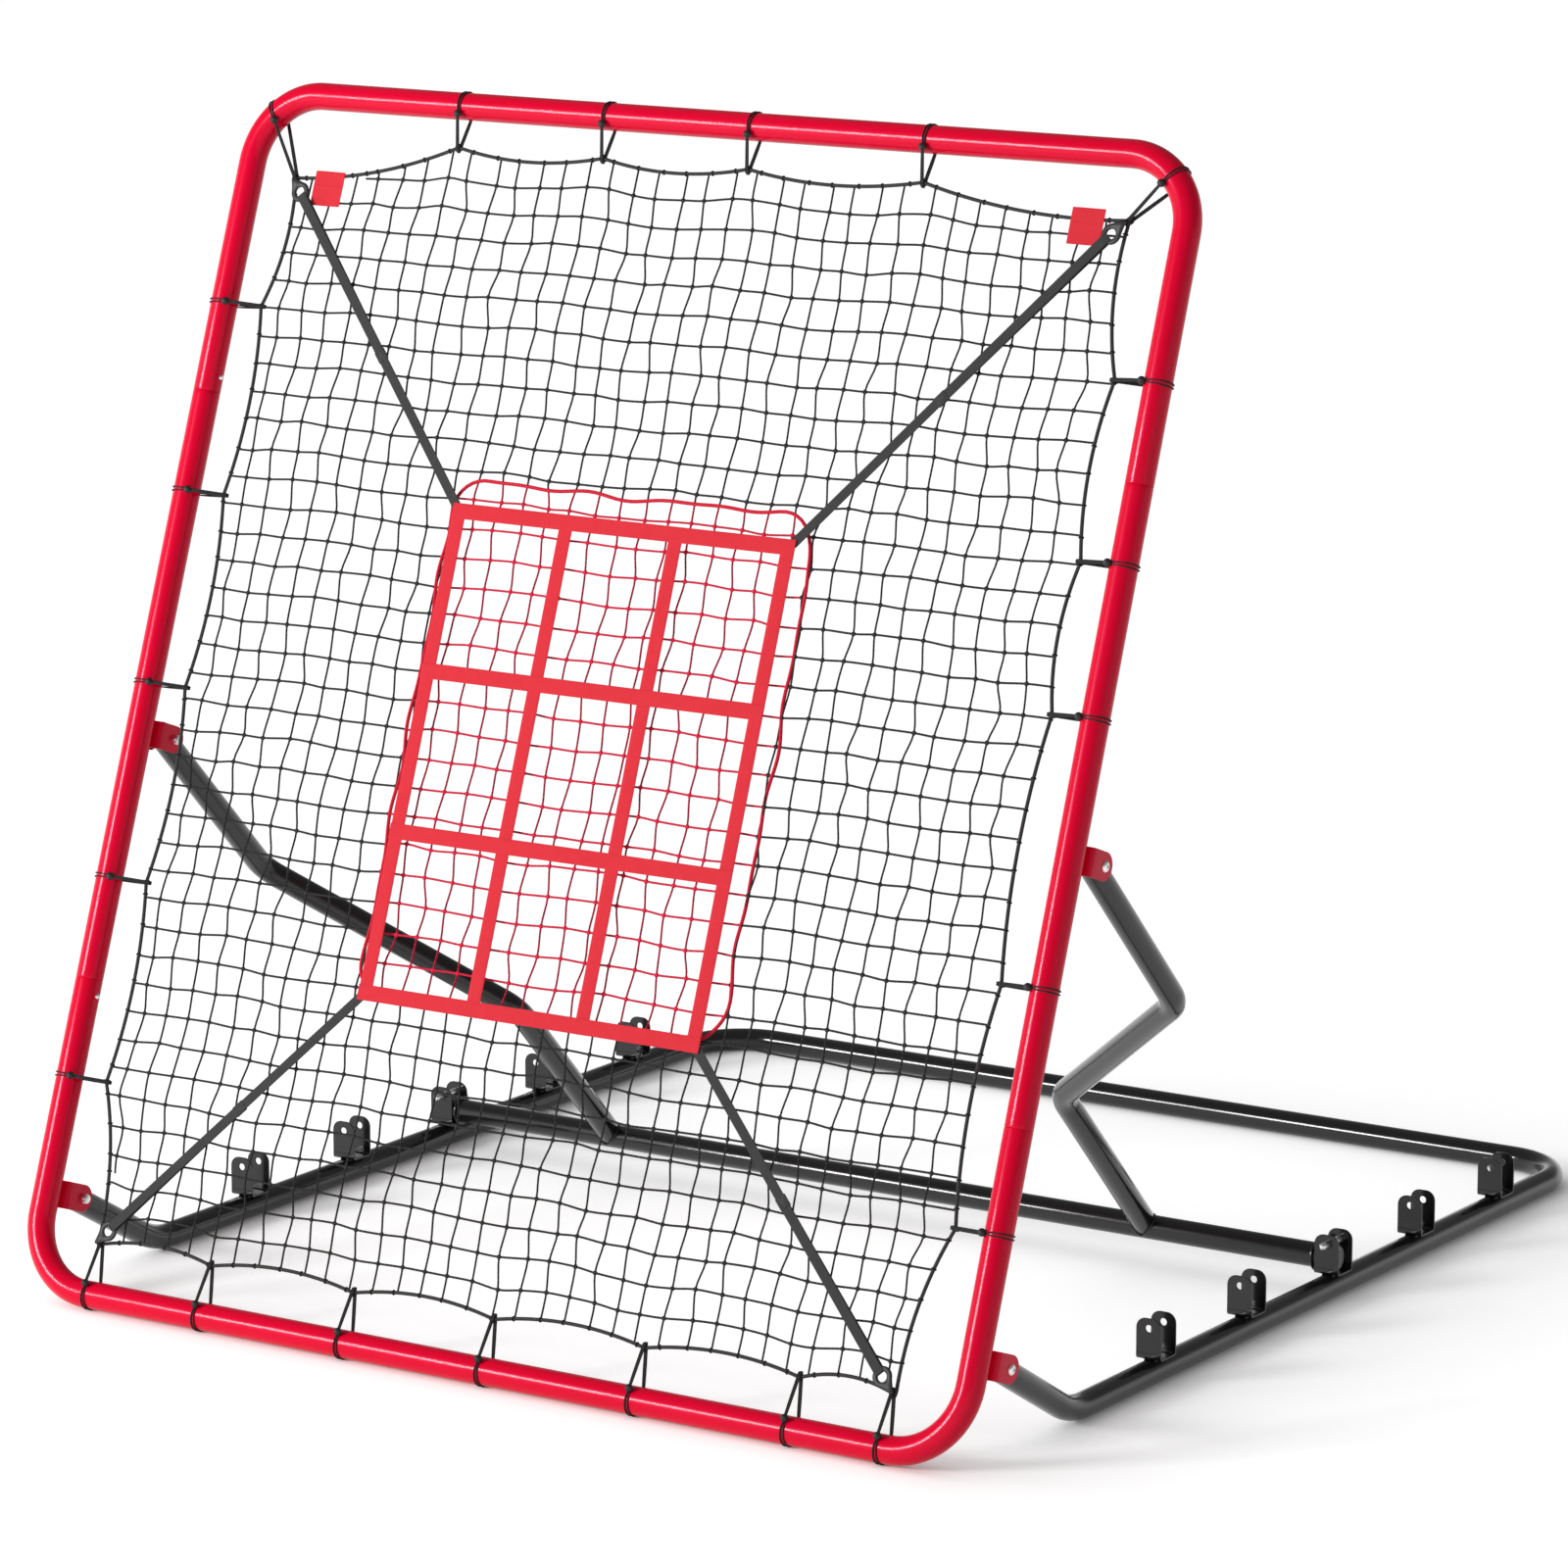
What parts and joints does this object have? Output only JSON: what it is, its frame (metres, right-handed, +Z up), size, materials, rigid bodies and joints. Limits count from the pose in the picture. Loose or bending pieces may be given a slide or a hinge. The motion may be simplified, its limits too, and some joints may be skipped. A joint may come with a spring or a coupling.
{
  "type": "pitching target net",
  "caption": "Leaning tubular frame with a knotted net and webbing strike zone, on a floor base with rest clevises and a folding stand.",
  "frame": {"origin": "centre of the bounding box at floor level", "axes": "+Z up, +Y towards the rear, from the net to the base's rear tube, +X to the right seen from the front"},
  "size_m": [1.5518, 1.7632, 1.6301],
  "materials": {
    "red_paint": "gloss powder coat",
    "black_paint": "satin powder coat",
    "zinc": "bright zinc plate",
    "black_plastic": "moulded plastic",
    "grey_plastic": "moulded plastic",
    "nylon": "natural nylon",
    "red_webbing": "woven polyester webbing",
    "red_cord": "knotted polyester cord",
    "black_cord": "knotted polyester cord",
    "black_webbing": "woven strap",
    "elastic": "braided elastic cord"
  },
  "bodies": {
    "base": {"base_tube": "black_paint", "clevis_left_1": "black_paint", "clevis_left_2": "black_paint", "clevis_left_3": "black_paint", "clevis_left_4": "black_paint", "clevis_left_5": "black_paint", "clevis_right_1": "black_paint", "clevis_right_2": "black_paint", "clevis_right_3": "black_paint", "clevis_right_4": "black_paint", "clevis_right_5": "black_paint", "base_end_plugs": "black_plastic"},
    "frame": {"frame_top_tube": "red_paint", "frame_bottom_tube": "red_paint", "frame_left_tube": "red_paint", "frame_right_tube": "red_paint", "low_bracket_left": "red_paint", "low_bracket_right": "red_paint", "mid_bracket_left": "red_paint", "mid_bracket_right": "red_paint", "low_bolts": "zinc", "low_nuts": "zinc", "mid_bolts": "zinc", "mid_nuts": "zinc", "pivot_washers": "nylon", "button_springs": "zinc", "edge_rope": "black_cord", "net_mesh": "black_cord", "panel_mesh": "red_cord", "panel_border": "red_cord", "zone_uprights": "red_webbing", "zone_rungs": "red_webbing", "strap_upper_left": "black_webbing", "strap_upper_right": "black_webbing", "strap_lower_left": "black_webbing", "strap_lower_right": "black_webbing", "strap_hooks": "black_plastic", "corner_patches": "red_webbing", "ties_top": "elastic", "ties_left": "elastic", "ties_right": "elastic", "ties_bottom": "elastic"},
    "stand": {"leg_left": "black_paint", "leg_right": "black_paint", "crossbar": "black_paint", "stop_collars": "black_paint", "crossbar_plugs": "grey_plastic", "leg_plugs": "black_plastic"},
    "pin_left": {"lock_pin_left": "zinc"},
    "pin_right": {"lock_pin_right": "zinc"},
    "ring_left": {"pull_ring_left": "zinc"},
    "ring_right": {"pull_ring_right": "zinc"},
    "button_upper_left": {"snap_button_upper_left": "zinc"},
    "button_upper_right": {"snap_button_upper_right": "zinc"},
    "button_lower_left": {"snap_button_lower_left": "zinc"},
    "button_lower_right": {"snap_button_lower_right": "zinc"}
  },
  "joints": [
    {"name": "frame_fold", "type": "hinge", "parent": "base", "child": "frame", "pos_m": [0, -0.76435, 0.12213], "axis": [1, 0, 0], "range_deg": [-70, 0]},
    {"name": "stand_fold", "type": "hinge", "parent": "frame", "child": "stand", "pos_m": [0, -0.54238, 0.73199], "axis": [1, 0, 0], "range_deg": [-1, 116.4]},
    {"name": "pin_left_pull", "type": "slide", "parent": "base", "child": "pin_left", "axis": [0, 1, 0], "range_m": [0, 0.053]},
    {"name": "ring_left_swing", "type": "hinge", "parent": "pin_left", "child": "ring_left", "pos_m": [-0.75, 0.15675, 0.0781], "axis": [1, 0, 0], "range_deg": [0, 80]},
    {"name": "pin_right_pull", "type": "slide", "parent": "base", "child": "pin_right", "axis": [0, 1, 0], "range_m": [0, 0.053]},
    {"name": "ring_right_swing", "type": "hinge", "parent": "pin_right", "child": "ring_right", "pos_m": [0.75, 0.15675, 0.0781], "axis": [1, 0, 0], "range_deg": [0, 80]},
    {"name": "button_upper_left_press", "type": "hinge", "parent": "frame", "child": "button_upper_left", "pos_m": [-0.73561, -0.43777, 1.18312], "axis": [0, -0.9397, 0.342], "range_deg": [0, 5], "stiffness_Nm_per_rad": 4},
    {"name": "button_upper_right_press", "type": "hinge", "parent": "frame", "child": "button_upper_right", "pos_m": [0.73561, -0.43777, 1.18312], "axis": [0, 0.9397, -0.342], "range_deg": [0, 5], "stiffness_Nm_per_rad": 4},
    {"name": "button_lower_left_press", "type": "hinge", "parent": "frame", "child": "button_lower_left", "pos_m": [-0.73561, -0.70708, 0.4432], "axis": [0, 0.9397, -0.342], "range_deg": [0, 5], "stiffness_Nm_per_rad": 4},
    {"name": "button_lower_right_press", "type": "hinge", "parent": "frame", "child": "button_lower_right", "pos_m": [0.73561, -0.70708, 0.4432], "axis": [0, -0.9397, 0.342], "range_deg": [0, 5], "stiffness_Nm_per_rad": 4}
  ],
  "couplings": [
    {"joint": "stand_fold", "follows": "frame_fold", "ratio": -1.6484}
  ]
}
